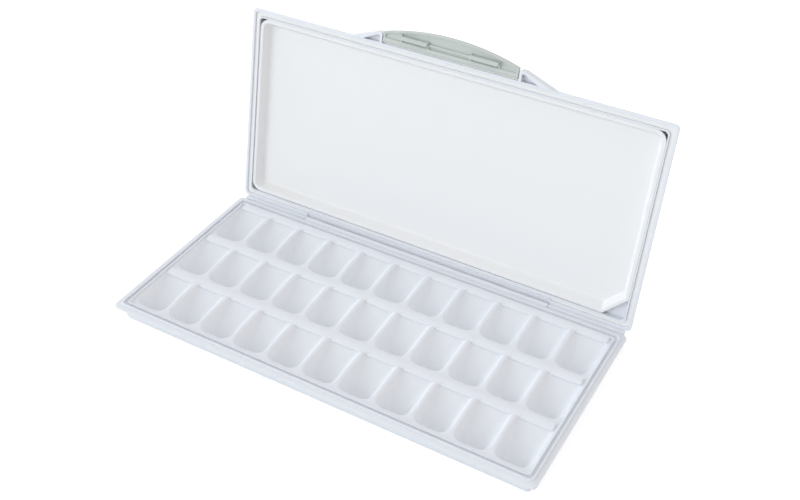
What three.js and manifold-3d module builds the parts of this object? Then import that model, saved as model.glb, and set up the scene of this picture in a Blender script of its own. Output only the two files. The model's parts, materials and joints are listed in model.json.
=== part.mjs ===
// Watercolor palette: a shallow white box with 33 sloping wells, a sealing lid that holds a
// lift-out mixing tray, and a latch bar on the lid's front edge. Lengths are in millimetres.
// The origin is the middle of the base's underside, on the table. +X runs along the palette,
// -Y is the front, +Y the hinge side and +Z is up. The lid is drawn closed and then turned open.

import * as THREE from 'three';
import { mergeVertices } from 'three/addons/utils/BufferGeometryUtils.js';
import Module from 'manifold-3d';

const wasm = await Module();
wasm.setup();

// Overall sizes of the box
const paletteLength = 340;
const paletteWidth = 158;
const baseHeight = 13;
const flangeThickness = 2.2;
const flangeCornerRadius = 3.5;
const innerCornerRadius = 3;
const wall = 1.8;
const skirtInset = 3.6;
const skirtDraft = 1.9;

// Clearances
const seatGap = 0.3;
const pinGap = 0.3;
const barrelCoverGap = 0.35;
const cutOverrun = 1;
const joinOverlap = 0.4;

// Sealing rib, the groove inside it and the lip round the deck
const ribMargin = 3.6;
const ribThickness = 1.2;
const ribHeight = 1.4;
const grooveWidth = 2.1;
const grooveDepth = 0.8;
const lipThickness = 1.2;
const lipHeight = 1.1;

// Deck, wells and rails
const deckDrop = 0.4;
const deckThickness = 2.2;
const wellColumns = 11;
const wellRows = 3;
const frontBand = 3.5;
const rowBand = 3;
const backRailWidth = 5.9;
const railWidth = 7.1;
const railChamfer = 0.9;
const crestDrop = 0.15;
const railEndGap = 0.7;
const railEndRadius = 1.6;
const endBand = 1.6;
const ridgeThickness = 3.3;
const rimSpread = 1.3;
const rimDrop = 0.85;
const wellFloor = 1.7;
const wellBackDepth = 2.2;
const wellFrontRadius = 7.5;
const wellRimDepth = 0.4;
const wellSideShare = 0.7;
const wellPadLength = 23;
const wellPadInset = 7.5;
const wellShellWall = 1.5;
const wellShellBackInset = 0.3;

// Hinge
const hingeOut = 2.2;
const baseBarrelRadius = 2.4;
const barrelEndInset = 63;
const knuckleEndInset = 4;
const lidNotch = 2.4;
const notchRim = 0.9;
const hingePinRadius = 0.75;
const hingePinSeat = 12;
const lidOpenDegrees = 102.6;

// Lid
const lidPlateThickness = 2;
const channelOuterGap = 1.3;
const channelInnerGap = 0.5;
const channelWall = 1.3;
const channelCover = 1.6;
const channelCoverDraft = 0.4;
const lidRidgeThickness = 1.2;
const lidEdgeRound = 1.2;
const ledgeDepth = 5;

// Seal
const sealThickness = 1.4;

// Mixing tray
const mixGap = 0.3;
const mixLipWidth = 2.6;
const mixDepth = 6.9;
const mixSheet = 1.5;
const mixCornerRadius = 8;
const mixWallRun = 3.2;
const mixCutCorner = 16.6;
const mixCutRound = 1.5;

// Latch, drawn in line with the closed lid
const latchHalfLength = 54;
const latchBarrelRadius = 2.7;
const latchPivotOut = 3.2;
const latchRise = 13.8;
const latchEndRise = 6.2;
const latchPlate = 3;
const latchPlateProud = 2.4;
const latchRimWall = 1.8;
const latchRecess = 1.2;
const latchRibThickness = 0.9;
const latchPinRadius = 0.9;
const latchPinInLatch = 4;
const latchPinInShoulder = 1.9;
const latchEndGap = 0.6;
const hookInner = 17;
const hookOuter = 39;
const hookThickness = 2.6;
const hookReach = 3.2;
const hookLead = 1;
const midRibThickness = 1.6;
const midRibProud = 0.6;

// Shoulders that carry the latch
const shoulderLength = 31;
const shoulderRise = 8;
const shoulderWall = 2;
const shoulderProud = 1.6;

// How finely round shapes are divided
const cornerSteps = 4;
const barrelSides = 16;
const holeSides = 12;
const arcSteps = 16;

// Heights on the base
const flangeTop = baseHeight;
const flangeUnder = flangeTop - flangeThickness;
const deckTop = flangeTop - deckDrop;
const deckUnder = deckTop - deckThickness;
const wellDepth = deckTop - wellFloor;
const ribTop = flangeTop + ribHeight;
const lipTop = flangeTop + lipHeight;
const crestBack = lipTop - crestDrop;
const grooveMargin = ribMargin + ribThickness;
const lipMargin = grooveMargin + grooveWidth;
const deckMargin = lipMargin + lipThickness;

// Places on the closed lid
const rimPlane = flangeTop + seatGap;
const lidFlangeTop = rimPlane + flangeThickness;
const sealUnder = ribTop + seatGap;
const channelTop = sealUnder + sealThickness + seatGap;
const coverTop = channelTop + channelCover;
const channelMargin = ribMargin - channelOuterGap;
const coverMargin = channelMargin - channelWall;
const lidRidgeMargin = grooveMargin + channelInnerGap;
const recessMargin = lidRidgeMargin + lidRidgeThickness;
const mixFace = lipTop + seatGap;
const recessTop = mixFace + mixDepth + mixSheet + seatGap;
const lidTop = recessTop + lidPlateThickness;

// Hinge axis, behind the back edge at half the flange's thickness
const halfLength = paletteLength / 2;
const halfWidth = paletteWidth / 2;
const hingeReach = halfLength - barrelEndInset;
const knuckleEnd = halfLength - knuckleEndInset;
const hingeY = halfWidth + hingeOut;
const hingeZ = flangeTop - flangeThickness / 2;
const lidKnuckleRadius = hingeOut - seatGap;

// Latch pivot, outside the lid's front edge at half the rim's thickness
const pivotY = -(halfWidth + latchPivotOut);
const pivotZ = rimPlane + flangeThickness / 2;

const materials = {
  shell: new THREE.MeshStandardMaterial({ color: 0xeef1f7, roughness: 0.32, metalness: 0 }),
  tray: new THREE.MeshStandardMaterial({ color: 0xf1f3f8, roughness: 0.28, metalness: 0 }),
  seal: new THREE.MeshStandardMaterial({ color: 0xd9dcdc, roughness: 0.6, metalness: 0 }),
  latch: new THREE.MeshStandardMaterial({ color: 0xbcc6c1, roughness: 0.35, metalness: 0 }),
  pin: new THREE.MeshStandardMaterial({ color: 0xb9bcc0, roughness: 0.3, metalness: 1 }),
};

// Triangles of a flat ring of [x, y, z] points, in the ring's own sense.
function capTriangles(ring) {
  const normal = [0, 0, 0];
  ring.forEach((p, i) => {
    const q = ring[(i + 1) % ring.length];
    normal[0] += (p[1] - q[1]) * (p[2] + q[2]);
    normal[1] += (p[2] - q[2]) * (p[0] + q[0]);
    normal[2] += (p[0] - q[0]) * (p[1] + q[1]);
  });
  const size = normal.map(Math.abs);
  const drop = size.indexOf(Math.max(...size));
  const [u, v] = [0, 1, 2].filter((axis) => axis !== drop);
  const flat = ring.map((p) => new THREE.Vector2(p[u], p[v]));
  const sense = Math.sign(THREE.ShapeUtils.area(flat));
  return THREE.ShapeUtils.triangulateShape(flat, []).map(([a, b, c]) => {
    const turn = Math.sign(THREE.ShapeUtils.area([flat[a], flat[b], flat[c]]));
    return turn === sense ? [a, b, c] : [a, c, b];
  });
}

// A closed solid through a row of rings that have the same number of [x, y, z] points.
function loft(rings) {
  const count = rings[0].length;
  const last = (rings.length - 1) * count;
  const index = [];
  for (let r = 0; r + 1 < rings.length; r += 1) {
    for (let p = 0; p < count; p += 1) {
      const a = r * count + p;
      const b = r * count + (p + 1) % count;
      index.push(a, b, b + count, a, b + count, a + count);
    }
  }
  capTriangles(rings[0]).forEach(([a, b, c]) => index.push(a, c, b));
  capTriangles(rings[rings.length - 1]).forEach(([a, b, c]) => index.push(a + last, b + last, c + last));
  const points = rings.flat();
  const cross = new THREE.Vector3();
  const corners = [new THREE.Vector3(), new THREE.Vector3(), new THREE.Vector3()];
  let volume = 0;
  for (let i = 0; i < index.length; i += 3) {
    corners.forEach((corner, k) => corner.fromArray(points[index[i + k]]));
    volume += cross.crossVectors(corners[1], corners[2]).dot(corners[0]);
  }
  if (volume < 0) index.reverse();
  const geometry = new THREE.BufferGeometry();
  geometry.setAttribute('position', new THREE.Float32BufferAttribute(points.flat(), 3));
  geometry.setIndex(index);
  const welded = mergeVertices(geometry);
  return new wasm.Manifold(new wasm.Mesh({
    numProp: 3,
    vertProperties: new Float32Array(welded.attributes.position.array),
    triVerts: new Uint32Array(welded.index.array),
  }));
}

function joined(solids) {
  return solids.reduce((sum, next) => sum.add(next));
}

function meshOf(name, body, material) {
  const { vertProperties, triVerts } = body.getMesh();
  const geometry = new THREE.BufferGeometry();
  geometry.setAttribute('position', new THREE.Float32BufferAttribute(vertProperties, 3));
  geometry.setIndex(Array.from(triVerts));
  geometry.computeVertexNormals();
  const mesh = new THREE.Mesh(geometry, material);
  mesh.name = name;
  return mesh;
}

// Corners of a rectangle, each rounded by its radius. A corner with a cut is cut off at 45 degrees
// instead, and its radius rounds both ends of the cut.
function cornered(x0, y0, x1, y1, radii, cuts, z) {
  const signs = [[1, 1], [-1, 1], [-1, -1], [1, -1]];
  return signs.flatMap(([sx, sy], quarter) => {
    const x = sx > 0 ? x1 : x0;
    const y = sy > 0 ? y1 : y0;
    const r = radii[quarter];
    const cut = cuts[quarter];
    const along = cut > 0 ? cut + r * Math.tan(Math.PI / 8) : r;
    const firstIsX = sx === sy;
    const first = firstIsX ? [x - sx * r, y - sy * along] : [x - sx * along, y - sy * r];
    const second = firstIsX ? [x - sx * along, y - sy * r] : [x - sx * r, y - sy * along];
    const points = [];
    for (let k = 0; k <= cornerSteps; k += 1) {
      const angle = (quarter + k / cornerSteps) * Math.PI / 2;
      const near = 2 * k <= cornerSteps;
      const spot = (centre) => [centre[0] + r * Math.cos(angle), centre[1] + r * Math.sin(angle), z];
      if (near) points.push(spot(first));
      if (!near || (cut > 0 && 2 * k === cornerSteps)) points.push(spot(second));
    }
    return points;
  });
}

// The palette's outline at one height, drawn in from the flange's edge.
function outline(inset, z) {
  const r = Math.max(flangeCornerRadius - inset, innerCornerRadius);
  const x = halfLength - inset;
  const y = halfWidth - inset;
  return cornered(-x, -y, x, y, [r, r, r, r], [0, 0, 0, 0], z);
}

function slab(inset, z0, z1) {
  return loft([outline(inset, z0), outline(inset, z1)]);
}

function band(outerInset, innerInset, z0, z1) {
  const hole = slab(innerInset, z0 - cutOverrun, z1 + cutOverrun);
  return slab(outerInset, z0, z1).subtract(hole);
}

// A prism along X from a side profile of [y, z] points.
function prismX(profile, x0, x1) {
  return loft([x0, x1].map((x) => profile.map(([y, z]) => [x, y, z])));
}

function barX(y, z, radius, x0, x1, sides) {
  const profile = Array.from({ length: sides }, (_, k) => {
    const angle = (k + 1 / 2) * 2 * Math.PI / sides;
    return [y + radius * Math.cos(angle), z + radius * Math.sin(angle)];
  });
  return prismX(profile, x0, x1);
}

function blockX(x0, x1, y0, y1, z0, z1) {
  return prismX([[y0, z0], [y1, z0], [y1, z1], [y0, z1]], x0, x1);
}

// Circle through the corners of a polygon whose flats stand this far from its centre.
function aroundFlats(flatRadius, sides) {
  return flatRadius / Math.cos(Math.PI / sides);
}

// Wells

const deckHalfLength = halfLength - deckMargin;
const deckHalfWidth = halfWidth - deckMargin;
const fieldHalf = deckHalfLength - endBand;
const wellPitch = (2 * fieldHalf + ridgeThickness) / wellColumns;
const betweenRows = railWidth + rowBand;
const wellLength = (2 * deckHalfWidth - frontBand - backRailWidth - (wellRows - 1) * betweenRows) / wellRows;
const rowPitch = wellLength + betweenRows;

// Down the front wall: shares of the front corners' radius, each with its share of the depth.
const frontWallShares = [[0, 0], [0.08, 0.17], [0.25, 0.48], [0.45, 0.84], [0.62, 1]];
// Shares of the floor's length, behind the front corners, at which it has a section.
const floorShares = [0, 0.5, 1];
// The foot of one side wall: shares of the wall's run and of the depth.
const footShares = [[0.85, 0.85], [1.2, 1]];

// Across a well: a bevelled rim at the crest, a straight side wall and its foot, on both sides.
function wellSection(centre, halfOpening, y, crest, depth) {
  const drop = Math.min(rimDrop, depth / 2);
  const spread = rimSpread * drop / rimDrop;
  const run = depth * wellSideShare;
  const side = (sign) => [
    [halfOpening + spread, crest + cutOverrun],
    [halfOpening + spread, crest],
    [halfOpening - drop * wellSideShare, crest - drop],
    ...footShares.map(([across, down]) => [halfOpening - across * run, crest - down * depth]),
  ].map(([reach, z]) => [centre + sign * reach, y, z]);
  return [...side(-1), ...side(1).reverse()];
}

function wellEdges(column) {
  const left = (column - wellColumns / 2) * wellPitch;
  const right = left + wellPitch;
  const skirtMiddle = halfLength - skirtInset - wall / 2;
  return {
    left: left + ridgeThickness / 2,
    right: right - ridgeThickness / 2,
    shellLeft: column === 0 ? -skirtMiddle : left - joinOverlap,
    shellRight: column === wellColumns - 1 ? skirtMiddle : right + joinOverlap,
  };
}

function wellFront(row) {
  return -deckHalfWidth + frontBand + row * rowPitch;
}

// Height of the ridges between wells: level with the deck in front, with the rail at the back.
function crestAt(along) {
  const back = Math.max(along - wellFrontRadius, 0) / (wellLength - wellFrontRadius);
  return deckTop + back * (crestBack - deckTop);
}

// A well: a steep front wall between round corners, then a floor that rises evenly to the back.
function wellCutter(column, row) {
  const { left, right } = wellEdges(column);
  const centre = (left + right) / 2;
  const half = (right - left) / 2;
  const front = wellFront(row);
  const foot = frontWallShares[frontWallShares.length - 1][0] * wellFrontRadius;
  const openingAt = (along) => {
    const share = Math.min(along / wellFrontRadius, 1);
    return half - wellFrontRadius * (1 - Math.sqrt(1 - (1 - share) ** 2));
  };
  const rings = frontWallShares.map(([share, down]) => {
    const along = share * wellFrontRadius;
    const depth = wellRimDepth + down * (wellDepth - wellRimDepth);
    return wellSection(centre, openingAt(along), front + along, deckTop, depth);
  });
  floorShares.forEach((share) => {
    const along = wellFrontRadius + share * (wellLength - wellFrontRadius);
    const back = (along - foot) / (wellLength - foot);
    const depth = crestAt(along) - wellFloor - back * (crestBack - wellBackDepth - wellFloor);
    rings.push(wellSection(centre, half, front + along, crestAt(along), depth));
  });
  return loft(rings);
}

// The outside of a well below the deck: a flat pad under its deep end, then a rising underside.
function wellShell(column, row) {
  const { left, right, shellLeft, shellRight } = wellEdges(column);
  const front = wellFront(row) - wellShellWall;
  const back = wellFront(row) + wellLength + wellShellWall;
  const top = deckUnder + joinOverlap;
  const section = (y, bottom, inset) => [
    [left + inset, y, bottom],
    [right - inset, y, bottom],
    [shellRight, y, top],
    [shellLeft, y, top],
  ];
  return loft([
    section(front, 0, wellPadInset),
    section(front + wellPadLength, 0, wellPadInset),
    section(back, crestBack - wellBackDepth - wellShellWall, wellShellBackInset),
  ]);
}

// The raised part of the ridge on a well's left, before the wells are cut from its sides.
function ridgeRamp(column, row) {
  const middle = (column - wellColumns / 2) * wellPitch;
  const front = wellFront(row) + wellFrontRadius;
  const back = wellFront(row) + wellLength;
  const end = back + railChamfer + joinOverlap;
  return prismX([
    [front, deckTop - joinOverlap],
    [end, deckTop - joinOverlap],
    [end, crestBack],
    [back, crestBack],
    [front, deckTop],
  ], middle - ridgeThickness, middle + ridgeThickness);
}

// A raised bar behind each row, level with the lip, with round ends just short of it.
function rail(front, width) {
  const ring = (inset, z) => {
    const reach = fieldHalf - railEndGap - inset;
    const radius = railEndRadius - inset;
    const radii = [radius, radius, radius, radius];
    return cornered(-reach, front + inset, reach, front + width - inset, radii, [0, 0, 0, 0], z);
  };
  return loft([
    ring(0, deckTop - joinOverlap),
    ring(0, lipTop - railChamfer),
    ring(railChamfer, lipTop),
  ]);
}

const columns = Array.from({ length: wellColumns }, (_, k) => k);
const rows = Array.from({ length: wellRows }, (_, k) => k);
const cells = rows.flatMap((row) => columns.map((column) => [column, row]));

function baseTray() {
  const skirtFoot = skirtInset + skirtDraft;
  const skirt = loft([
    outline(skirtFoot, 0),
    outline(skirtInset, flangeUnder),
    outline(skirtInset, flangeTop),
  ]);
  const hollow = loft([
    outline(skirtFoot + wall, -cutOverrun),
    outline(skirtFoot + wall, 0),
    outline(skirtInset + wall, deckUnder),
  ]);
  const flange = slab(0, flangeUnder, flangeTop);
  const deckCut = slab(deckMargin, deckTop, flangeTop + cutOverrun);
  const groove = band(grooveMargin, lipMargin, flangeTop - grooveDepth, flangeTop + cutOverrun);
  const rib = band(ribMargin, grooveMargin, flangeTop - joinOverlap, ribTop);
  const lip = band(lipMargin, deckMargin, flangeTop - joinOverlap, lipTop);
  const shells = joined(cells.map(([column, row]) => wellShell(column, row)));
  const wells = joined(cells.map(([column, row]) => wellCutter(column, row)));
  const inner = cells.filter(([column]) => column > 0);
  const ramps = joined(inner.map(([column, row]) => ridgeRamp(column, row)));
  const rails = joined(rows.map((row) => {
    const isBack = row === wellRows - 1;
    return rail(wellFront(row) + wellLength, isBack ? backRailWidth : railWidth);
  }));
  const barrelPoint = aroundFlats(baseBarrelRadius, barrelSides);
  const barrel = barX(hingeY, hingeZ, barrelPoint, -hingeReach, hingeReach, barrelSides);
  const barrelWeb = blockX(-hingeReach, hingeReach, halfWidth - joinOverlap, hingeY, flangeUnder, hingeZ);
  const holeRadius = aroundFlats(hingePinRadius + pinGap, holeSides);
  const pinHoles = [-1, 1].map((side) => {
    const ends = [side * (hingeReach - hingePinSeat - seatGap), side * (hingeReach + cutOverrun)];
    return barX(hingeY, hingeZ, holeRadius, Math.min(...ends), Math.max(...ends), holeSides);
  });
  return skirt.subtract(hollow)
    .add(shells)
    .add(flange)
    .subtract(deckCut)
    .subtract(groove)
    .add(ramps)
    .subtract(wells)
    .add(rib)
    .add(lip)
    .add(rails)
    .add(barrel)
    .add(barrelWeb)
    .subtract(joined(pinHoles));
}

// Lid

// The rim steps in past the base's barrel, keeps a thin wall there and passes over it as a cover.
const notchReach = hingeReach + seatGap + joinOverlap;
const notchInner = halfWidth - lidNotch - notchRim;
const notchTop = hingeZ + baseBarrelRadius + barrelCoverGap;

// One knuckle bar of the lid with the web that joins it to the rim's back edge.
function lidKnuckle(side) {
  const x0 = Math.min(side * (hingeReach + seatGap), side * knuckleEnd);
  const x1 = Math.max(side * (hingeReach + seatGap), side * knuckleEnd);
  const bar = barX(hingeY, hingeZ, aroundFlats(lidKnuckleRadius, barrelSides), x0, x1, barrelSides);
  const web = prismX([
    [halfWidth - joinOverlap, rimPlane + seatGap],
    [hingeY, hingeZ],
    [hingeY + lidKnuckleRadius, hingeZ],
    [hingeY + lidKnuckleRadius, rimPlane],
    [hingeY, lidFlangeTop],
    [halfWidth - joinOverlap, lidFlangeTop],
  ], x0, x1);
  const bore = barX(hingeY, hingeZ, aroundFlats(hingePinRadius + pinGap, holeSides),
    x0 - cutOverrun, x1 + cutOverrun, holeSides);
  return bar.add(web).subtract(bore);
}

// A hollow three-cornered shoulder, open towards the lid's inner face, with the end wall for the pin.
function shoulder(side) {
  const near = latchHalfLength + latchEndGap;
  const far = near + shoulderLength;
  const root = -(halfWidth - channelMargin + joinOverlap);
  const outerEdge = -(halfWidth + seatGap);
  const tip = -(halfWidth + shoulderRise);
  const plan = (z, grow) => [
    [side * (near + grow), root + grow, z],
    [side * (near + grow), tip + grow, z],
    [side * (near + shoulderWall * 2), tip + grow, z],
    [side * (far - grow * shoulderLength / shoulderRise), root + grow, z],
  ];
  const bottom = rimPlane - shoulderProud;
  const body = loft([plan(bottom, 0), plan(coverTop, 0)]);
  const pocket = loft([plan(bottom - cutOverrun, shoulderWall), plan(coverTop - wall, shoulderWall)]);
  const clearOfBase = blockX(-halfLength, halfLength, outerEdge, 0, bottom - cutOverrun, rimPlane);
  return body.subtract(pocket).subtract(clearOfBase);
}

// The recess is shallower beside the mixing tray's cut corner, where a finger reaches the tray's edge.
function cornerLedge() {
  const leg = mixCutCorner + 2 * (recessMargin + mixGap);
  const restOfLid = (z) => [
    [-halfLength, -halfWidth, z],
    [halfLength, -halfWidth, z],
    [halfLength, halfWidth - leg, z],
    [halfLength - leg, halfWidth, z],
    [-halfLength, halfWidth, z],
  ];
  const face = rimPlane + ledgeDepth;
  const top = recessTop + joinOverlap;
  const cut = loft([restOfLid(face - cutOverrun), restOfLid(top + cutOverrun)]);
  return slab(recessMargin - joinOverlap, face, top).subtract(cut);
}

function lidShell() {
  const rim = slab(0, rimPlane, lidFlangeTop);
  const cover = loft([
    outline(coverMargin, lidFlangeTop - joinOverlap),
    outline(coverMargin + channelCoverDraft, coverTop),
  ]);
  const dome = loft([
    outline(skirtInset, coverTop - joinOverlap),
    outline(skirtInset + skirtDraft, lidTop - lidEdgeRound),
    outline(skirtInset + skirtDraft + lidEdgeRound, lidTop),
  ]);
  const recess = slab(recessMargin, rimPlane - cutOverrun, recessTop);
  const channel = band(channelMargin, lidRidgeMargin, rimPlane - cutOverrun, channelTop);
  const notch = blockX(-hingeReach - seatGap, hingeReach + seatGap, halfWidth - lidNotch,
    halfWidth + cutOverrun, rimPlane - cutOverrun, notchTop);
  const barrelCover = blockX(-notchReach, notchReach, halfWidth - joinOverlap, hingeY,
    notchTop, lidFlangeTop);
  const innerRim = blockX(-notchReach, notchReach, notchInner, notchInner + notchRim,
    rimPlane, coverTop - joinOverlap);
  const pinHoles = [-1, 1].map((side) => {
    const ends = [latchHalfLength, latchHalfLength + latchEndGap + shoulderWall + cutOverrun];
    const along = ends.map((x) => side * x);
    return barX(pivotY, pivotZ, aroundFlats(latchPinRadius + pinGap, holeSides),
      Math.min(...along), Math.max(...along), holeSides);
  });
  return rim.add(cover)
    .add(dome)
    .subtract(channel)
    .subtract(recess)
    .add(cornerLedge())
    .subtract(notch)
    .add(innerRim)
    .add(barrelCover)
    .add(joined([-1, 1].map(lidKnuckle)))
    .add(joined([-1, 1].map(shoulder)))
    .subtract(joined(pinHoles));
}

function lidSeal() {
  const top = sealUnder + sealThickness;
  const behindBarrel = blockX(-notchReach - seatGap, notchReach + seatGap, notchInner - seatGap, halfWidth,
    sealUnder - cutOverrun, top + cutOverrun);
  return band(channelMargin + seatGap, lidRidgeMargin - seatGap, sealUnder, top).subtract(behindBarrel);
}

// Mixing tray, with its cut corner at the hinge side on +X.
function mixOutline(inset, z) {
  const margin = recessMargin + mixGap + inset;
  const r = Math.max(mixCornerRadius - inset, innerCornerRadius);
  const x = halfLength - margin;
  const y = halfWidth - margin;
  const cut = mixCutCorner - inset * (2 - Math.SQRT2);
  return cornered(-x, -y, x, y, [mixCutRound, r, r, r], [cut, 0, 0, 0], z);
}

function mixingTray() {
  const floor = mixFace + mixDepth;
  const lip = loft([mixOutline(0, mixFace), mixOutline(0, mixFace + mixSheet)]);
  const dish = loft([
    mixOutline(mixLipWidth - mixSheet + joinOverlap, mixFace + mixSheet - joinOverlap),
    mixOutline(mixLipWidth - mixSheet + joinOverlap + mixWallRun, floor + mixSheet),
  ]);
  const hollow = loft([
    mixOutline(mixLipWidth, mixFace - cutOverrun),
    mixOutline(mixLipWidth, mixFace),
    mixOutline(mixLipWidth + mixWallRun, floor),
  ]);
  return lip.add(dish).subtract(hollow);
}

// Latch, in line with the lid: its plate runs out from the pivot towards -Y.

function arcRadius(halfChord, rise) {
  return (halfChord ** 2 + rise ** 2) / (2 * rise);
}

// The plate's plan: straight at the pivot, with a bowed outer edge drawn in by the inset.
function latchPlan(inset, z) {
  const bow = latchRise - latchEndRise;
  const radius = arcRadius(latchHalfLength, bow);
  const centreY = pivotY - latchRise + radius;
  const half = latchHalfLength - inset;
  const points = [];
  for (let k = 0; k <= arcSteps; k += 1) {
    const x = half * (2 * k / arcSteps - 1);
    points.push([x, centreY - Math.sqrt((radius - inset) ** 2 - x ** 2), z]);
  }
  points.push([half, pivotY - inset, z], [-half, pivotY - inset, z]);
  return points;
}

function hook(x0, x1, thickness, reach, lead) {
  const faceZ = pivotZ - latchPlateProud;
  const back = flangeUnder - seatGap - pivotZ + pivotY;
  const front = back - thickness;
  return prismX([
    [back, faceZ + joinOverlap],
    [back, faceZ - reach],
    [front + lead, faceZ - reach],
    [front, faceZ - reach + lead],
    [front, faceZ + joinOverlap],
  ], x0, x1);
}

function latchHandle() {
  const inner = pivotZ - latchPlateProud;
  const outer = inner + latchPlate;
  const edge = latchRibThickness / 2;
  const plate = loft([
    latchPlan(edge, inner),
    latchPlan(0, inner + edge),
    latchPlan(0, outer - edge),
    latchPlan(edge, outer),
  ]);
  const recess = loft([
    latchPlan(latchRimWall, inner - cutOverrun),
    latchPlan(latchRimWall, inner + latchRecess),
  ]);
  const barrel = barX(pivotY, pivotZ, aroundFlats(latchBarrelRadius, barrelSides),
    -latchHalfLength, latchHalfLength, barrelSides);
  const ribs = [-hookOuter, -hookInner, hookInner, hookOuter].map((x) => {
    const y0 = pivotY - latchEndRise - latchRibThickness;
    return blockX(x - edge, x + edge, y0, pivotY, inner, inner + latchRecess + joinOverlap);
  });
  const hooks = [
    hook(-hookOuter, -hookInner, hookThickness, hookReach, hookLead),
    hook(hookInner, hookOuter, hookThickness, hookReach, hookLead),
    hook(-hookInner + edge, hookInner - edge, midRibThickness, midRibProud, 0),
  ];
  const hookRoots = blockX(-hookOuter, hookOuter, pivotY + flangeUnder - seatGap - pivotZ - midRibThickness,
    pivotY + flangeUnder - seatGap - pivotZ, inner, inner + latchRecess + joinOverlap);
  const holeRadius = aroundFlats(latchPinRadius + pinGap, holeSides);
  const pinHoles = [-1, 1].map((side) => {
    const ends = [latchHalfLength - latchPinInLatch - seatGap, latchHalfLength + cutOverrun];
    const along = ends.map((x) => side * x);
    return barX(pivotY, pivotZ, holeRadius, Math.min(...along), Math.max(...along), holeSides);
  });
  return plate.subtract(recess)
    .add(barrel)
    .add(joined(ribs))
    .add(hookRoots)
    .add(joined(hooks))
    .subtract(joined(pinHoles));
}

// Pins

function hingePin(side) {
  const along = [hingeReach - hingePinSeat, knuckleEnd - seatGap].map((x) => side * x);
  return barX(hingeY, hingeZ, hingePinRadius, Math.min(...along), Math.max(...along), holeSides);
}

function latchPin(side) {
  const along = [
    latchHalfLength - latchPinInLatch,
    latchHalfLength + latchEndGap + latchPinInShoulder,
  ].map((x) => side * x);
  return barX(pivotY, pivotZ, latchPinRadius, Math.min(...along), Math.max(...along), holeSides);
}

// The closed lid's pieces sit in a group that turns about the hinge axis.
const lidTurn = new THREE.Group();
lidTurn.position.set(0, hingeY, hingeZ);
lidTurn.rotation.x = -THREE.MathUtils.degToRad(lidOpenDegrees);
const lidGroup = new THREE.Group();
lidGroup.position.set(0, -hingeY, -hingeZ);
lidTurn.add(lidGroup);
lidGroup.add(meshOf('lid_shell', lidShell(), materials.shell));
lidGroup.add(meshOf('lid_seal', lidSeal(), materials.seal));
lidGroup.add(meshOf('mixing_tray', mixingTray(), materials.tray));
lidGroup.add(meshOf('latch_handle', latchHandle(), materials.latch));
lidGroup.add(meshOf('latch_pin_left', latchPin(-1), materials.pin));
lidGroup.add(meshOf('latch_pin_right', latchPin(1), materials.pin));

const palette = new THREE.Group();
palette.add(meshOf('base_tray', baseTray(), materials.shell));
palette.add(meshOf('hinge_pin_left', hingePin(-1), materials.pin));
palette.add(meshOf('hinge_pin_right', hingePin(1), materials.pin));
palette.add(lidTurn);

export default palette;
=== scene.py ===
import json
import math

import bmesh
import bpy
from mathutils import Matrix, Vector


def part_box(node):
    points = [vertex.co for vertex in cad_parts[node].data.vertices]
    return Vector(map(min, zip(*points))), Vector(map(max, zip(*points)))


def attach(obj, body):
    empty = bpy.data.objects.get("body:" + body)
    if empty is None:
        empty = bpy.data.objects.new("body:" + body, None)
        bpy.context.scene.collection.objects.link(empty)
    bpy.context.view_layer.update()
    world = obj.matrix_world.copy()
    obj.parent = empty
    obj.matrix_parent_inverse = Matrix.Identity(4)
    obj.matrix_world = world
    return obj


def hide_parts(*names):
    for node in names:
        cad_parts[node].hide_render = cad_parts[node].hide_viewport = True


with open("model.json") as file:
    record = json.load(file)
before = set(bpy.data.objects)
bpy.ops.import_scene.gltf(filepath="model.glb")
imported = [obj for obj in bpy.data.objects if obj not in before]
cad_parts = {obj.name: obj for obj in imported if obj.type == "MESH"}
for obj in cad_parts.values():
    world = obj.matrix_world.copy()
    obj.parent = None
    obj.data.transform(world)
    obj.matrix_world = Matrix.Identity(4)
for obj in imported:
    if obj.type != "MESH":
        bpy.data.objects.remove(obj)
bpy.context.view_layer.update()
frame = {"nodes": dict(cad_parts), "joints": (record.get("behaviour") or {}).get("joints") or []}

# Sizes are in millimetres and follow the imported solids; MM turns them into metres.
MM = 0.001


def clean(value):
    """A size worked out from the frame, without the noise of the frame's single precision."""
    return round(value, 3)


base_low, base_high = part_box("base_tray")
half_length = base_high.x / MM
half_width = -base_low.y / MM
joint_at = {joint["name"]: joint for joint in frame["joints"]}
_, hinge_y, hinge_z = [value / MM for value in joint_at["lid_hinge"]["pos_m"]]
open_angle = math.radians(joint_at["lid_hinge"]["range_deg"][1])

# Clearances, joins and how far cutters reach beyond what they cut
gap = 0.3
sink, weld = 0.4, 0.02
root_depth = 0.6
overrun = 1.0

# Base
flange_top, flange_thickness = 13.0, 2.2
flange_under = flange_top - flange_thickness
flange_corner, inner_corner = 3.5, 3.0
skirt_inset, skirt_foot = 3.6, 5.5
wall = 1.8
rib_margin, rib_height = 3.6, 1.4
groove_margin, groove_depth = 4.8, 0.8
lip_margin, lip_height = 6.9, 1.1
deck_margin, deck_drop, deck_thickness = 8.1, 0.4, 2.2
rib_top, lip_top = flange_top + rib_height, flange_top + lip_height
groove_floor = flange_top - groove_depth
deck_top = flange_top - deck_drop
deck_under = deck_top - deck_thickness
deck_run, hollow_run = 0.4, 0.5
rib_draft, flange_draft = 0.05, 0.1
rib_round, rib_foot_round, groove_round = 0.35, 0.25, 0.2
flange_round, under_round = 0.45, 0.4
deck_round, skirt_round, hollow_round = 0.15, 0.5, 0.3

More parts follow.
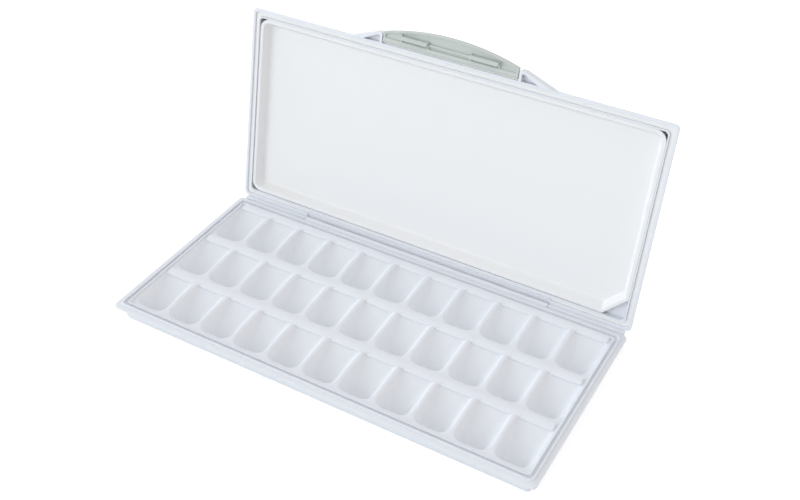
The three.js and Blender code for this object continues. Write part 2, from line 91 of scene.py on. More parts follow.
# Wells, the ridges between them and the rails behind them
well_columns, well_rows = 11, 3
end_band, front_band, row_band = 1.6, 3.5, 3.0
ridge_width = 3.3
rail_width, back_rail_width = 7.1, 5.9
field_half = clean(half_length - deck_margin - end_band)
well_pitch = (2 * field_half + ridge_width) / well_columns
deck_front = clean(deck_margin - half_width)
first_front = deck_front + front_band
between_rows = rail_width + row_band
rows_length = -2 * deck_front - front_band - back_rail_width
well_length = (rows_length - (well_rows - 1) * between_rows) / well_rows
row_pitch = well_length + between_rows
well_floor, well_back = 1.7, 11.5
crest_drop = 0.15
crest_back = lip_top - crest_drop
front_radius, foot_share = 7.5, 0.62
front_shares = (0.25, 0.5, 0.75)
side_share = 0.7
rim_round, foot_round, foot_spread = 1.4, 3.2, 2.2
foot_most_share = 0.45
cut_top = 15.2
rail_short, rail_end = 0.7, 1.3
rail_reach = field_half - rail_short
rail_shoulder, rail_shoulder_round = 0.55, 0.4
rail_slope, rail_back_edge = 3.2, 0.9
ramp_short = 0.2

# Undersides of the wells
well_wall = 1.5
pad_length, pad_inset, pad_round = 23.0, 7.5, 2.0
pad_edge, pad_edge_share = 0.8, 0.3
pad_blend, pad_blend_share = 1.5, 0.25
underside_back = 10.0
underside_gap = 0.1
end_margin = 6.2
end_reach = clean(half_length - end_margin)

# Hinge
knuckle_length, knuckle_margin = 59.0, 4.0
knuckle_end = clean(half_length - knuckle_margin)
knuckle_radius = clean(hinge_y - half_width - gap)
knuckle_end_round = 0.25
knuckle_round, knuckle_drop, knuckle_brow = 1.2, 1.2, 0.6
neck_shares, neck_rounds, neck_rise = (0.7, 0.9), (0.4, 0.6), 0.8
barrel_radius = 2.2
barrel_reach = knuckle_end - knuckle_length
barrel_end_round = 0.3
web_lift, web_inset = 0.1, 0.4
pin_bore = 1.05
pin_seat = 12.3
notch, notch_rim, notch_join = 2.4, 0.9, 0.5
cover_rise, cover_edge = 2.75, 0.15
cover_under = hinge_z + cover_rise

# Lid, drawn closed
rim_plane = flange_top + gap
lid_flange_top = rim_plane + flange_thickness
channel_margin, channel_room = 2.3, 2.0
channel_top = rib_top + channel_room
ridge_margin, recess_margin = 5.3, 6.5
cover_margin, cover_draft, cover_sheet = 1.0, 0.4, 1.6
cover_top = channel_top + cover_sheet
recess_top, lid_sheet = 23.1, 2.0
lid_top = recess_top + lid_sheet
floor_run, dome_run = 6.0, 8.0
recess_round, recess_edge = 1.0, 0.2
channel_round, ridge_edge = 0.3, 0.25
cover_foot_round, cover_round, dome_round = 0.2, 0.5, 1.6
ledge_depth, ledge_sink = 5.0, 0.3
ledge_face = rim_plane + ledge_depth

# Seal
seal_side_gap, seal_end_gap, seal_lift = 0.04, 0.05, 0.15
seal_outer, seal_inner = channel_margin + seal_side_gap, ridge_margin - seal_side_gap
seal_under, seal_top = rib_top + seal_lift, channel_top - gap
seal_round = 0.12

# Mixing tray
mix_lip, mix_sheet, mix_run = 2.6, 1.5, 3.2
mix_neck, mix_lift = 0.4, 0.2
mix_margin = recess_margin + gap
mix_face, mix_floor = lip_top + mix_lift, recess_top - gap - mix_sheet
mix_corner, mix_cut, mix_cut_round = 8.0, 16.6, 1.5
mix_foot_round, mix_brim_round, mix_neck_round = 1.6, 0.6, 0.2
mix_edge, mix_back_edge = 0.25, 0.5

# Latch, drawn in line with the closed lid
latch_half = 54.0
latch_barrel, latch_end_round = 2.7, 0.4
pivot_out = 3.2
pivot_y, pivot_z = -(half_width + pivot_out), rim_plane + flange_thickness / 2
latch_rise, latch_end_rise = 13.8, 6.2
latch_plate, latch_proud = 3.0, 2.4
latch_rim, latch_recess, recess_run = 1.8, 1.2, 1.0
latch_draft = 0.1
latch_outer_round, latch_inner_round = 0.9, 0.5
latch_rim_round, latch_recess_round = 0.4, 0.3
hook_inner, hook_outer = 17.0, 39.0
hook_thickness, hook_reach, hook_lead = 2.6, 3.2, 1.0
hook_tip_round, hook_lead_round, hook_end_round = 0.4, 0.5, 0.3
mid_rib, mid_rib_proud, mid_rib_round = 1.6, 0.6, 0.3
latch_rib = 0.9
latch_bore, latch_bore_depth = 1.2, 4.3

# Shoulders beside the latch
shoulder_gap, shoulder_length, shoulder_drop = 0.6, 31.0, 1.6
shoulder_near = latch_half + shoulder_gap
shoulder_far = shoulder_near + shoulder_length
shoulder_bottom = rim_plane - shoulder_drop
shoulder_tip, shoulder_flat, shoulder_root = 8.0, 4.0, 1.6
shoulder_wall, pocket_draft, pocket_root = 2.0, 0.1, 2.0
shoulder_slack, shoulder_lift = 0.3, 0.05
shoulder_edge, shoulder_edge_share = 0.35, 0.3
tip_rounds = (1.2, 2.0)
clear_reach = 200.0

# How finely round shapes are divided
ARC_STEPS, BOW_STEPS = 10, 40
ROUND_STEPS, WIDE_STEPS, FINE_STEPS = 4, 5, 8
RIM_STEPS, FOOT_STEPS = 6, 7
SIDE_STEPS, CORNER_STEPS = 8, 9
END_STEPS = 4
ROUND_SIDES, BORE_SIDES = 48, 24

# The most of a path's side that one rounding takes, and the angle from which an edge stays sharp
MOST_SHARE = 0.48
SHARP_DEGREES = 32

# The four corners of a rectangle, anticlockwise from the back right
QUARTERS = ((1, 1), (-1, 1), (-1, -1), (1, -1))


def bend(start, corner, end, steps):
    """A smooth turn from start to end that leaves both along the lines to the corner."""
    shares = [k / steps for k in range(steps + 1)]
    return [start * (1 - u) ** 2 + corner * 2 * u * (1 - u) + end * u * u for u in shares]


def rounded(corners, steps=ROUND_STEPS):
    """Points of an open path through (a, b, radius) corners, each rounded by its radius."""
    path = [Vector(corner[:2]) for corner in corners]
    points = []
    for i, corner in enumerate(path):
        radius = corners[i][2]
        if radius == 0 or i == 0 or i == len(path) - 1:
            points.append(corner)
            continue
        before = path[i - 1] - corner
        after = path[i + 1] - corner
        turn = math.pi - before.angle(after)
        most = MOST_SHARE * min(before.length, after.length)
        reach = min(radius * math.tan(turn / 2), most)
        start = corner + before.normalized() * reach
        end = corner + after.normalized() * reach
        points += bend(start, corner, end, steps)
    return points


class Piece:
    """One mesh, built from loops of points in millimetres."""

    def __init__(self):
        self.mesh = bmesh.new()

    def loop(self, points):
        return [self.mesh.verts.new(Vector(point) * MM) for point in points]

    def strip(self, first, second, closed=True):
        """Faces between two loops of as many points."""
        count = len(first)
        for i in range(count if closed else count - 1):
            j = (i + 1) % count
            self.mesh.faces.new((first[i], first[j], second[j], second[i]))

    def cap(self, loop):
        self.mesh.faces.new(loop)

    def stack(self, loops, closed=True):
        """Faces between neighbouring loops, and a cap on the first and the last."""
        for first, second in zip(loops, loops[1:]):
            self.strip(first, second, closed)
        self.cap(loops[0])
        self.cap(loops[-1])

    def fill(self, loops):
        """Closes the flat region that the first loop bounds, round the others."""
        edges = []
        for loop in loops:
            for i, vert in enumerate(loop):
                pair = (vert, loop[(i + 1) % len(loop)])
                edges.append(self.mesh.edges.get(pair) or self.mesh.edges.new(pair))
        bmesh.ops.triangle_fill(self.mesh, edges=edges, use_beauty=True)

    def rings(self, profile, ring):
        """Loops at the (inset, z) points of a profile, each shaped by the ring function."""
        return [self.loop(ring(inset, z)) for inset, z in profile]

    def finish(self, name):
        bmesh.ops.recalc_face_normals(self.mesh, faces=self.mesh.faces)
        data = bpy.data.meshes.new(name)
        self.mesh.to_mesh(data)
        self.mesh.free()
        made = bpy.data.objects.new(name, data)
        bpy.context.scene.collection.objects.link(made)
        return made


def swept(name, profile, ring):
    """A closed piece between the rings of a profile, flat at both ends."""
    piece = Piece()
    piece.stack(piece.rings(profile, ring))
    return piece.finish(name)


def palette_ring(inset, z):
    """The palette's outline, drawn in from the flange's edge."""
    radius = max(flange_corner - inset, inner_corner)
    points = []
    for quarter, (sx, sy) in enumerate(QUARTERS):
        x = sx * (half_length - inset - radius)
        y = sy * (half_width - inset - radius)
        for k in range(ARC_STEPS + 1):
            angle = (quarter + k / ARC_STEPS) * math.pi / 2
            points.append((x + radius * math.cos(angle), y + radius * math.sin(angle), z))
    return points


def bar(name, profile, x0, x1, end_round=0.0):
    """A closed prism along X from a closed side profile of (y, z) points, with round ends if asked."""
    profile = [Vector(point) for point in profile]
    centre = sum(profile, Vector((0, 0))) / len(profile)
    size = max((point - centre).length for point in profile)
    ends = []
    for x, inward in ((x0, 1), (x1, -1)):
        stations = []
        for k in range(END_STEPS + 1 if end_round else 1):
            angle = k * math.pi / (2 * END_STEPS)
            shrink = 1 - end_round * (1 - math.sin(angle)) / size
            shift = inward * end_round * (1 - math.cos(angle))
            stations.append((x + shift, shrink))
        ends.append(stations)
    piece = Piece()
    loops = []
    for x, shrink in ends[0] + ends[1][::-1]:
        ring = [centre + (point - centre) * shrink for point in profile]
        loops.append(piece.loop([(x, y, z) for y, z in ring]))
    piece.stack(loops)
    return piece.finish(name)


def circle(y, z, radius, sides=ROUND_SIDES):
    angles = [2 * math.pi * (k + 1 / 2) / sides for k in range(sides)]
    return [(y + radius * math.cos(a), z + radius * math.sin(a)) for a in angles]


def box_profile(y0, y1, z0, z1, radius=0.0):
    """A rectangle's closed profile, its corners rounded by the radius."""
    if not radius:
        return [(y0, z0), (y1, z0), (y1, z1), (y0, z1)]
    middle = ((y0 + y1) / 2, z0, 0)
    corners = [(y1, z0, radius), (y1, z1, radius), (y0, z1, radius), (y0, z0, radius)]
    return rounded([middle, *corners, middle])[:-1]


def bores(y, z, radius, near, far):
    """A round cutter along X on each side, between two distances from the middle."""
    profile = circle(y, z, radius, BORE_SIDES)
    return [bar("bore", profile, *sorted((side * near, side * far))) for side in (-1, 1)]


def combine(body, others, operation):
    """Joins the others to the body or cuts them from it, and removes them."""
    for other in others:
        modifier = body.modifiers.new("combine", "BOOLEAN")
        modifier.operation = operation
        modifier.solver = "EXACT"
        modifier.object = other
    bpy.context.view_layer.update()
    evaluated = body.evaluated_get(bpy.context.evaluated_depsgraph_get())
    data = bpy.data.meshes.new_from_object(evaluated)
    body.modifiers.clear()
    old = body.data
    body.data = data
    bpy.data.meshes.remove(old)
    for other in others:
        bpy.data.objects.remove(other)
    return body


# Base

foot_along = foot_share * front_radius
floor_slope = (well_back - well_floor) / (well_length - foot_along)
cells = [(column, row) for row in range(well_rows) for column in range(well_columns)]


def well_middle(column):
    return (column + 1 / 2 - well_columns / 2) * well_pitch


def well_front(row):
    return first_front + row * row_pitch


def back_share(along):
    """How far back a point lies in a well: 0 at the front corners, 1 at the rail."""
    return max(along - front_radius, 0) / (well_length - front_radius)


def floor_z(along):
    """Height of a well's floor at a distance from its front."""
    return well_floor + floor_slope * (along - foot_along)


def crest_z(along):
    """Height of the ridges: level with the deck in front, with the rail at the back."""
    return deck_top + back_share(along) * (crest_back - deck_top)


def side_stations(has_ridge):
    """Down the left rim and round its front corner: rim point, foot point and outward direction."""
    half = (well_pitch - ridge_width) / 2
    stations = []
    for k in range(SIDE_STEPS + 1):
        along = well_length + (front_radius - well_length) * k / SIDE_STEPS
        low = floor_z(along)
        run = (crest_z(along) - low) * side_share
        rim = Vector((-half, along, crest_z(along) if has_ridge else deck_top))
        stations.append((rim, Vector((run - half, along, low)), Vector((-1, 0, 0))))
    foot_half = -stations[-1][1].x
    foot_radius = front_radius - foot_along
    for k in range(1, CORNER_STEPS + 1):
        angle = math.pi / 2 * k / CORNER_STEPS
        c, s = math.cos(angle), math.sin(angle)
        rim = Vector((front_radius - half - front_radius * c, front_radius * (1 - s), deck_top))
        toe = Vector((foot_radius - foot_half - foot_radius * c, foot_along + foot_radius * (1 - s), 0))
        toe.z = floor_z(toe.y)
        stations.append((rim, toe, Vector((-c, -s, 0))))
    return stations


def well_stations(column):
    """Round a well's rim from back left to back right."""
    mirror = Vector((-1, 1, 1))
    left = side_stations(column > 0)
    right = [[point * mirror for point in station] for station in side_stations(column < well_columns - 1)]
    front = []
    for share in front_shares:
        rim = left[-1][0].lerp(right[-1][0], share)
        toe = left[-1][1].lerp(right[-1][1], share)
        front.append((rim, toe, Vector((0, -1, 0))))
    return left + front + right[::-1]


def well_path(rim, toe, outward):
    """From above the deck over the rim, down the wall and round the foot onto the floor."""
    down = (toe - rim).normalized()
    reach = min(foot_round, foot_most_share * (toe - rim).length)
    inward = Vector((-outward.x, -outward.y, -outward.y * floor_slope)).normalized()
    start = rim + outward * rim_round
    end = toe + inward * (reach + foot_spread * back_share(toe.y))
    top = bend(start, rim, rim + down * rim_round, RIM_STEPS)
    bottom = bend(toe - down * reach, toe, end, FOOT_STEPS)
    return [Vector((start.x, start.y, cut_top))] + top + bottom


def well_cutter():
    """The hollows of all wells, with flared rims that round the ridges and the front edges."""
    piece = Piece()
    for column, row in cells:
        corner = Vector((well_middle(column), well_front(row), 0))
        paths = [well_path(*station) for station in well_stations(column)]
        levels = [piece.loop([corner + path[k] for path in paths]) for k in range(len(paths[0]))]
        piece.stack(levels, closed=False)
        piece.cap([level[0] for level in levels] + [level[-1] for level in reversed(levels)])
    return piece.finish("well_cutter")


def ridge_ramps():
    """The raised parts of the ridges, before the wells round their sides."""
    piece = Piece()
    for column, row in cells:
        if column == 0:
            continue
        middle = (column - well_columns / 2) * well_pitch
        front = well_front(row) + front_radius
        back = well_front(row) + well_length
        end = back + rail_slope - ramp_short
        low = deck_top - sink
        side = [(front, low), (end, low), (end, crest_back), (back, crest_back), (front, deck_top)]
        ends = (middle - ridge_width, middle + ridge_width)
        piece.stack([piece.loop([(x, y, z) for y, z in side]) for x in ends])
    return piece.finish("ridge_ramps")


def add_well_underside(piece, column, row):
    """Adds the outside of one well, flat under its deep end, and returns its loop under the deck."""
    middle = well_middle(column)
    front = well_front(row) - well_wall
    back = well_front(row) + well_length + well_wall
    left = -end_reach if column == 0 else middle - well_pitch / 2 + underside_gap
    right = end_reach if column == well_columns - 1 else middle + well_pitch / 2 - underside_gap
    opening = (well_pitch - ridge_width) / 2
    slope = underside_back / (back - front - pad_length)
    pad_end = front + pad_length
    stations = (
        (front, pad_edge),
        (front + pad_edge_share * pad_edge, pad_edge_share * pad_edge),
        (front + pad_edge, 0),
        (pad_end - pad_blend, 0),
        (pad_end, pad_blend_share * pad_blend * slope),
        (pad_end + pad_blend, pad_blend * slope),
        (back, underside_back),
    )
    sections = []
    for y, low in stations:
        half = opening - pad_inset * (1 - low / underside_back)
        corners = [(left, deck_under, 0), (middle - half, low, pad_round), (middle + half, low, pad_round),
                   (right, deck_under, 0)]
        sections.append(piece.loop([(x, y, z) for x, z in rounded(corners, WIDE_STEPS)]))
    piece.stack(sections, closed=False)
    return [section[0] for section in sections] + [section[-1] for section in reversed(sections)]


def rail(row):
    """The raised bar behind a row, with round ends and a front that slopes softly up to its flat top."""
    is_back = row == well_rows - 1
    front = well_front(row) + well_length - weld
    back = front + (back_rail_width + sink if is_back else rail_width)
    low = deck_top - sink
    path = rounded([
        (front, low, 0),
        (front, deck_top + rail_shoulder, rail_shoulder_round),
        (front + rail_slope, lip_top, rail_slope),
        (back, lip_top, rail_back_edge),
        (back, low, 0),
    ], FINE_STEPS)
    return bar("rail", path, -rail_reach, rail_reach, rail_end)


def base_moulding():
    piece = Piece()
    outer = rounded([
        (deck_margin + deck_run, deck_top, 0),
        (deck_margin, deck_top, deck_round),
        (deck_margin - rib_draft, lip_top, rib_round),
        (lip_margin + rib_draft, lip_top, rib_round),
        (lip_margin, groove_floor, groove_round),
        (groove_margin, groove_floor, groove_round),
        (groove_margin - rib_draft, rib_top, rib_round),
        (rib_margin + rib_draft, rib_top, rib_round),
        (rib_margin, flange_top, rib_foot_round),
        (0, flange_top, flange_round),
        (flange_draft, flange_under, under_round),
        (skirt_inset, flange_under, under_round),
        (skirt_foot, 0, skirt_round),
        (skirt_foot + wall, 0, skirt_round),
        (skirt_inset + wall, deck_under, hollow_round),
        (skirt_inset + wall + hollow_run, deck_under, 0),
    ])
    loops = piece.rings(outer, palette_ring)
    for first, second in zip(loops, loops[1:]):
        piece.strip(first, second)
    piece.cap(loops[0])
    piece.fill([loops[-1]] + [add_well_underside(piece, column, row) for column, row in cells])
    body = piece.finish("base_moulding")
    combine(body, [ridge_ramps()], "UNION")
    combine(body, [well_cutter()], "DIFFERENCE")
    profile = circle(hinge_y, hinge_z, barrel_radius)
    barrel = bar("barrel", profile, -barrel_reach, barrel_reach, barrel_end_round)
    profile = box_profile(half_width - root_depth, hinge_y, flange_under + web_lift, hinge_z)
    web = bar("web", profile, web_inset - barrel_reach, barrel_reach - web_inset)
    combine(body, [rail(row) for row in range(well_rows)] + [web, barrel], "UNION")
    pin_bores = bores(hinge_y, hinge_z, pin_bore, barrel_reach - pin_seat, barrel_reach + overrun)
    return combine(body, pin_bores, "DIFFERENCE")


# Lid

def knuckle(side):
    """One knuckle bar of the lid with the web that joins it to the rim's back edge."""
    x0, x1 = sorted((side * (barrel_reach + gap), side * knuckle_end))
    root = half_width - root_depth
    front, back = hinge_y - knuckle_radius, hinge_y + knuckle_radius
    path = rounded([
        (root, rim_plane + gap, 0),
        (hinge_y - knuckle_radius * neck_shares[0], rim_plane + gap, neck_rounds[0]),
        (hinge_y - knuckle_radius * neck_shares[1], hinge_z + neck_rise, neck_rounds[1]),
        (front, hinge_z, knuckle_round),
        (front, hinge_z - knuckle_radius, knuckle_radius),
        (back, hinge_z - knuckle_radius, knuckle_radius),
        (back, lid_flange_top - knuckle_drop, knuckle_radius),
        (hinge_y - knuckle_brow, lid_flange_top, knuckle_round),
        (root, lid_flange_top, 0),
    ], FINE_STEPS)
    return bar("knuckle", path, x0, x1, knuckle_end_round)


def shoulder(side):
    """A hollow three-cornered shoulder, open towards the lid's inner face."""
    tip = -(half_width + shoulder_tip)

    def plan(z, grow, root_grow=0):
        root = shoulder_root - half_width + root_grow
        near = shoulder_near + grow
        far = shoulder_far - grow * shoulder_length / shoulder_tip
        corners = [
            (side * near, root, 0),
            (side * near, tip + grow, tip_rounds[0]),
            (side * (shoulder_near + shoulder_flat), tip + grow, tip_rounds[1]),
            (side * far, root, 0),
        ]
        return [(x, y, z) for x, y in rounded(corners)]

    body, pocket = Piece(), Piece()
    edge, part = shoulder_edge, shoulder_edge * shoulder_edge_share
    levels = (
        (shoulder_bottom, edge),
        (shoulder_bottom + part, part),
        (shoulder_bottom + edge, 0),
        (cover_top - edge, 0),
        (cover_top - part, part),
        (cover_top, edge),
    )
    body.stack([body.loop(plan(z, grow)) for z, grow in levels])
    levels = (
        (shoulder_bottom - overrun, shoulder_wall - pocket_draft),
        (cover_top - wall, shoulder_wall + pocket_draft),
    )
    pocket.stack([pocket.loop(plan(z, grow, pocket_root)) for z, grow in levels])
    made = body.finish("shoulder")
    low, high = shoulder_bottom - overrun, rim_plane + shoulder_lift
    profile = box_profile(-(half_width + shoulder_slack), 0, low, high)
    clear = bar("clear", profile, -clear_reach, clear_reach)
    return combine(made, [pocket.finish("pocket"), clear], "DIFFERENCE")


def corner_ledge():
    """The raised corner of the recess beside the mixing tray's cut corner."""
    margin = recess_margin - ledge_sink
    x, y = half_length - margin, half_width - margin
    leg = mix_cut + 2 * (mix_margin - margin)
    plan = rounded([(x, y - leg, 0), (x, y, inner_corner), (x - leg, y, 0)])
    piece = Piece()
    levels = (ledge_face, recess_top + ledge_sink)
    piece.stack([piece.loop([(point.x, point.y, z) for point in plan]) for z in levels])
    return piece.finish("corner_ledge")


def lid_moulding():
    body = swept("lid_moulding", rounded([
        (recess_margin + floor_run, recess_top, 0),
        (recess_margin, recess_top, recess_round),
        (recess_margin - rib_draft, rim_plane, recess_edge),
        (ridge_margin + rib_draft, rim_plane, ridge_edge),
        (ridge_margin, channel_top, channel_round),
        (channel_margin, channel_top, channel_round),
        (channel_margin - rib_draft, rim_plane, ridge_edge),
        (0, rim_plane, flange_round),
        (flange_draft, lid_flange_top, cover_round),
        (cover_margin, lid_flange_top, cover_foot_round),
        (cover_margin + cover_draft, cover_top, cover_round),
        (skirt_inset, cover_top, cover_round),
        (skirt_foot, lid_top, dome_round),
        (skirt_foot + dome_run, lid_top, 0),
    ]), palette_ring)
    reach = barrel_reach + gap
    inner = half_width - notch - notch_rim
    profile = box_profile(half_width - notch, half_width + 2 * overrun, rim_plane - overrun, cover_under)
    combine(body, [bar("notch", profile, -reach, reach)], "DIFFERENCE")
    reach += notch_join
    profile = box_profile(half_width - root_depth, hinge_y, cover_under - weld, lid_flange_top, cover_edge)
    cover = bar("barrel_cover", profile, -reach, reach)
    profile = box_profile(inner, inner + notch_rim, rim_plane, channel_top + notch_join, channel_round)
    rim = bar("inner_rim", profile, -reach, reach)
    sides = [part(side) for part in (knuckle, shoulder) for side in (-1, 1)]
    combine(body, [rim, cover, corner_ledge()] + sides, "UNION")
    hinge_bores = bores(hinge_y, hinge_z, pin_bore, barrel_reach, knuckle_end + overrun)
    latch_bores = bores(pivot_y, pivot_z, latch_bore, latch_half, shoulder_near + shoulder_wall + overrun)
    return combine(body, hinge_bores + latch_bores, "DIFFERENCE")


def seal_ring():
    piece = Piece()
    loops = piece.rings(box_profile(seal_outer, seal_inner, seal_under, seal_top, seal_round), palette_ring)
    for first, second in zip(loops, loops[1:] + loops[:1]):
        piece.strip(first, second)
    reach = barrel_reach + gap + notch_join + seal_end_gap
    inner = half_width - notch - notch_rim - seal_end_gap
    profile = box_profile(inner, half_width, seal_under - overrun, seal_top + overrun)
    behind = bar("behind", profile, -reach, reach)
    return combine(piece.finish("seal_ring"), [behind], "DIFFERENCE")


def mix_ring(inset, z):
    """The tray's outline with its cut corner, drawn in from the tray's edge."""
    points = []
    for quarter, (sx, sy) in enumerate(QUARTERS):
        x = sx * (half_length - mix_margin - inset)
        y = sy * (half_width - mix_margin - inset)
        is_cut = quarter == 0
        r = mix_cut_round if is_cut else max(mix_corner - inset, inner_corner)
        cut = mix_cut - inset * (2 - math.sqrt(2))
        along = cut + r * math.tan(math.pi / 8) if is_cut else r
        first = (x - sx * r, y - sy * along) if sx == sy else (x - sx * along, y - sy * r)
        second = (x - sx * along, y - sy * r) if sx == sy else (x - sx * r, y - sy * along)
        for k in range(ARC_STEPS + 1):
            angle = (quarter + k / ARC_STEPS) * math.pi / 2
            centres = [first] if 2 * k < ARC_STEPS else [second]
            if is_cut and 2 * k == ARC_STEPS:
                centres = [first, second]
            points += [(a + r * math.cos(angle), b + r * math.sin(angle), z) for a, b in centres]
    return points


def mixing_dish():
    back = mix_lip - mix_sheet + mix_neck
    return swept("mixing_dish", rounded([
        (mix_lip + mix_run + floor_run, mix_floor, 0),
        (mix_lip + mix_run, mix_floor, mix_foot_round),
        (mix_lip, mix_face, mix_brim_round),
        (0, mix_face, mix_edge),
        (0, mix_face + mix_sheet, mix_back_edge),
        (back, mix_face + mix_sheet, mix_neck_round),
        (back + mix_run, mix_floor + mix_sheet, mix_foot_round),
        (back + mix_run + floor_run, mix_floor + mix_sheet, 0),
    ], WIDE_STEPS), mix_ring)


# Latch

def latch_plan(inset, z):
    """The plate's plan: straight at the pivot, with a bowed outer edge drawn in by the inset."""
    bow = latch_rise - latch_end_rise
    radius = (latch_half ** 2 + bow ** 2) / (2 * bow)
    centre_y = pivot_y - latch_rise + radius
    half = latch_half - inset
    xs = [half * (2 * k / BOW_STEPS - 1) for k in range(BOW_STEPS + 1)]
    points = [(x, centre_y - math.sqrt((radius - inset) ** 2 - x * x), z) for x in xs]
    return points + [(half, pivot_y - inset, z), (-half, pivot_y - inset, z)]


def latch_bar():
    inner = pivot_z - latch_proud
    outer = inner + latch_plate
    recess = inner + latch_recess
    body = swept("latch_bar", rounded([
        (latch_rim + recess_run, outer, 0),
        (0, outer, latch_outer_round),
        (0, inner, latch_inner_round),
        (latch_rim, inner, latch_rim_round),
        (latch_rim + latch_draft, recess, latch_recess_round),
        (latch_rim + recess_run, recess, 0),
    ]), latch_plan)
    barrel = circle(pivot_y, pivot_z, latch_barrel)
    parts = [bar("latch_barrel", barrel, -latch_half, latch_half, latch_end_round)]
    rib = box_profile(pivot_y - latch_end_rise - latch_rib, pivot_y, inner, recess + sink)
    for x in (-hook_outer, -hook_inner, hook_inner, hook_outer):
        parts.append(bar("rib", rib, x - latch_rib / 2, x + latch_rib / 2))
    back = flange_under - gap - pivot_z + pivot_y
    front = back - hook_thickness
    hook = rounded([
        (back, inner + sink, 0),
        (back, inner - hook_reach, hook_tip_round),
        (front + hook_lead, inner - hook_reach, hook_lead_round),
        (front, inner - hook_reach + hook_lead, hook_lead_round),
        (front, inner + sink, 0),
    ])
    for x0, x1 in ((-hook_outer, -hook_inner), (hook_inner, hook_outer)):
        parts.append(bar("hook", hook, x0, x1, hook_end_round))
    middle = box_profile(back - mid_rib, back, inner - mid_rib_proud, recess + sink, mid_rib_round)
    parts.append(bar("middle_rib", middle, latch_rib - hook_inner, hook_inner - latch_rib))
    combine(body, parts, "UNION")
    cutters = bores(pivot_y, pivot_z, latch_bore, latch_half - latch_bore_depth, latch_half + overrun)
    return combine(body, cutters, "DIFFERENCE")


# Materials

mottle_scale, mottle_detail = 14, 5
peel_scale, peel_detail, peel_height = 900, 3, 0.2 * MM
gloss_less, gloss_more = 0.02, 0.03
plastic_ior = 1.49


def shader(name, color, roughness):
    """A plain material, its node tree and its main node."""
    material = bpy.data.materials.new(name)
    material.use_nodes = True
    node = material.node_tree.nodes["Principled BSDF"]
    node.inputs["Base Color"].default_value = (*color, 1)
    node.inputs["Roughness"].default_value = roughness
    return material, material.node_tree, node


def noise(tree, place, scale, detail):
    """Noise that stays with the piece as it moves."""
    texture = tree.nodes.new("ShaderNodeTexNoise")
    texture.inputs["Scale"].default_value = scale
    texture.inputs["Detail"].default_value = detail
    tree.links.new(place.outputs["Object"], texture.inputs["Vector"])
    return texture.outputs["Fac"]


def moulded_plastic(name, color, shade, roughness, bump=0.02):
    """Glossy moulded plastic: a faint mottle of colour and gloss, and a very fine orange peel."""
    material, tree, node = shader(name, color, roughness)
    nodes, links = tree.nodes, tree.links
    place = nodes.new("ShaderNodeTexCoord")
    mottle = noise(tree, place, mottle_scale, mottle_detail)
    mix = nodes.new("ShaderNodeMix")
    mix.data_type = "RGBA"
    mix.inputs["A"].default_value = (*color, 1)
    mix.inputs["B"].default_value = (*shade, 1)
    gloss = nodes.new("ShaderNodeMapRange")
    gloss.inputs["To Min"].default_value = roughness - gloss_less
    gloss.inputs["To Max"].default_value = roughness + gloss_more
    relief = nodes.new("ShaderNodeBump")
    relief.inputs["Strength"].default_value = bump
    relief.inputs["Distance"].default_value = peel_height
    links.new(mottle, mix.inputs["Factor"])
    links.new(mottle, gloss.inputs["Value"])
    links.new(mix.outputs["Result"], node.inputs["Base Color"])
    links.new(gloss.outputs["Result"], node.inputs["Roughness"])
    links.new(noise(tree, place, peel_scale, peel_detail), relief.inputs["Height"])
    links.new(relief.outputs["Normal"], node.inputs["Normal"])
    node.inputs["IOR"].default_value = plastic_ior
    return material


def drawn_wire(name):
    """Bare steel for the pins."""
    material, _, node = shader(name, (0.6, 0.6, 0.62), 0.3)
    node.inputs["Metallic"].default_value = 1
    return material


shell_white = moulded_plastic("shell_white", (0.795, 0.815, 0.862), (0.792, 0.812, 0.859), 0.32)
tray_white = moulded_plastic("tray_white", (0.865, 0.865, 0.872), (0.862, 0.862, 0.869), 0.3)
seal_pale = moulded_plastic("seal_silicone", (0.87, 0.875, 0.88), (0.865, 0.87, 0.875), 0.5, 0.05)
latch_grey = moulded_plastic("latch_grey", (0.565, 0.6, 0.575), (0.555, 0.59, 0.565), 0.38, 0.04)
pin_steel = drawn_wire("pin_steel")


# Assembly

def dress(piece, material, body, slot, *nodes, turned=True):
    """Turns a piece drawn closed to the open rest pose, smooths it and gives it its place and finish."""
    if turned:
        hinge = Vector((0, hinge_y * MM, hinge_z * MM))
        turn = Matrix.Translation(hinge) @ Matrix.Rotation(-open_angle, 4, "X") @ Matrix.Translation(-hinge)
        piece.data.transform(turn)
    for polygon in piece.data.polygons:
        polygon.use_smooth = True
    piece.data.set_sharp_from_angle(angle=math.radians(SHARP_DEGREES))
    weighted = piece.modifiers.new("weighted_normals", "WEIGHTED_NORMAL")
    weighted.keep_sharp = True
    piece.data.materials.clear()
    piece.data.materials.append(material)
    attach(piece, body)
    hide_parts(*nodes)


dress(base_moulding(), shell_white, "base", "shell_white", "base_tray", turned=False)
dress(lid_moulding(), shell_white, "lid", "shell_white", "lid_shell")
dress(seal_ring(), seal_pale, "lid", "seal_silicone", "lid_seal")
dress(mixing_dish(), tray_white, "lid", "tray_white", "mixing_tray")
dress(latch_bar(), latch_grey, "latch", "latch_grey", "latch_handle")
for node in ("hinge_pin_left", "hinge_pin_right", "latch_pin_left", "latch_pin_right"):
    pin = frame["nodes"][node]
    pin.data.materials.clear()
    pin.data.materials.append(pin_steel)


# Stage, light and camera

WHITE = (1, 1, 1, 1)
floor_reach = 3000
floor_glow = 0.42
horizon_light, zenith_light = 0.53, 0.86
cool, warm = (0.87, 0.955, 1.0), (1.0, 0.88, 0.76)
camera_place = Vector((0.315011, -0.495094, 0.546966))
camera_look = Vector((-0.39162, 0.67594, -0.62429))
camera_lens, camera_sensor = 49.2, 36


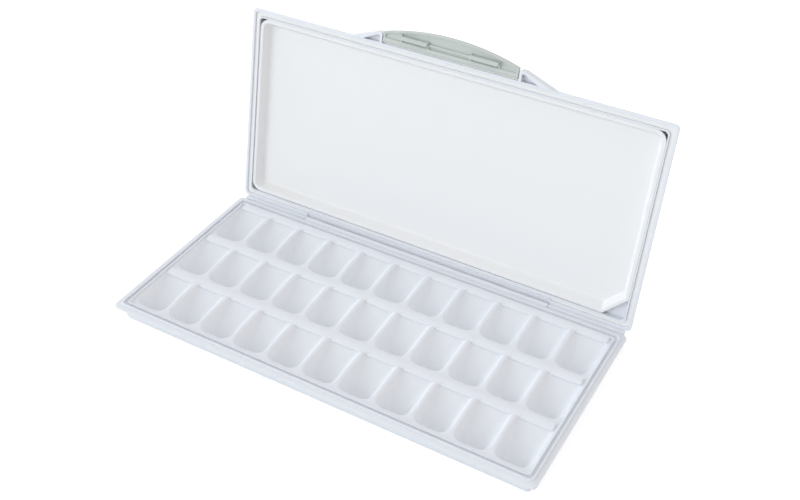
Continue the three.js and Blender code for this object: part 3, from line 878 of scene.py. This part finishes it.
def seen_directly(tree):
    """1 for the rays that see the backdrop directly, in a mirror or through glass, and 0 for the others."""
    path = tree.nodes.new("ShaderNodeLightPath")
    value = path.outputs["Is Camera Ray"]
    for name in ("Is Glossy Ray", "Is Transmission Ray"):
        most = tree.nodes.new("ShaderNodeMath")
        most.operation = "MAXIMUM"
        tree.links.new(value, most.inputs[0])
        tree.links.new(path.outputs[name], most.inputs[1])
        value = most.outputs["Value"]
    return value


def add_floor():
    """A wide white floor that takes the object's shadow."""
    near, far = -floor_reach, floor_reach
    piece = Piece()
    piece.cap(piece.loop([(near, near, 0), (far, near, 0), (far, far, 0), (near, far, 0)]))
    floor = piece.finish("floor")
    material, tree, node = shader("floor_white", (0.85, 0.85, 0.85), 0.6)
    node.inputs["Emission Color"].default_value = WHITE
    glow = tree.nodes.new("ShaderNodeMath")
    glow.operation = "MULTIPLY"
    glow.inputs[1].default_value = floor_glow
    tree.links.new(seen_directly(tree), glow.inputs[0])
    tree.links.new(glow.outputs["Value"], node.inputs["Emission Strength"])
    floor.data.materials.append(material)


def add_sun(name, azimuth, elevation, strength, softness, color):
    """A soft distant lamp, its angles in degrees: azimuth 0 is in front and 90 on the right."""
    lamp = bpy.data.lights.new(name, "SUN")
    lamp.energy = strength
    lamp.angle = math.radians(softness)
    lamp.color = color
    made = bpy.data.objects.new(name, lamp)
    around, up = math.radians(azimuth), math.radians(elevation)
    level = math.cos(up)
    towards = Vector((math.sin(around) * level, -math.cos(around) * level, math.sin(up)))
    made.rotation_euler = towards.to_track_quat("Z", "Y").to_euler()
    bpy.context.scene.collection.objects.link(made)


def add_world():
    """Light that grows from the horizon to the zenith, behind which the camera sees plain white."""
    world = bpy.data.worlds.new("studio")
    world.use_nodes = True
    tree = world.node_tree
    background = tree.nodes["Background"]
    background.inputs["Color"].default_value = WHITE
    place = tree.nodes.new("ShaderNodeTexCoord")
    split = tree.nodes.new("ShaderNodeSeparateXYZ")
    height = tree.nodes.new("ShaderNodeMapRange")
    height.inputs["To Min"].default_value = horizon_light
    height.inputs["To Max"].default_value = zenith_light
    level = tree.nodes.new("ShaderNodeMapRange")
    level.inputs["To Max"].default_value = 1
    tree.links.new(place.outputs["Generated"], split.inputs["Vector"])
    tree.links.new(split.outputs["Z"], height.inputs["Value"])
    tree.links.new(height.outputs["Result"], level.inputs["To Min"])
    tree.links.new(seen_directly(tree), level.inputs["Value"])
    tree.links.new(level.outputs["Result"], background.inputs["Strength"])
    bpy.context.scene.world = world


def add_camera():
    """The camera that was solved from the photograph."""
    camera = bpy.data.cameras.new("camera")
    camera.lens = camera_lens
    camera.sensor_width = camera_sensor
    camera.sensor_fit = "HORIZONTAL"
    made = bpy.data.objects.new("camera", camera)
    turn = camera_look.to_track_quat("-Z", "Y").to_matrix().to_4x4()
    made.matrix_world = Matrix.Translation(camera_place) @ turn
    bpy.context.scene.collection.objects.link(made)
    bpy.context.scene.camera = made


add_floor()
add_camera()
add_sun("window", azimuth=268, elevation=11, strength=1.2, softness=35, color=cool)
add_sun("window_front", azimuth=322, elevation=14, strength=1.05, softness=45, color=cool)
add_sun("room", azimuth=95, elevation=14, strength=0.42, softness=45, color=warm)
add_world()
bpy.context.scene.view_settings.view_transform = "Standard"
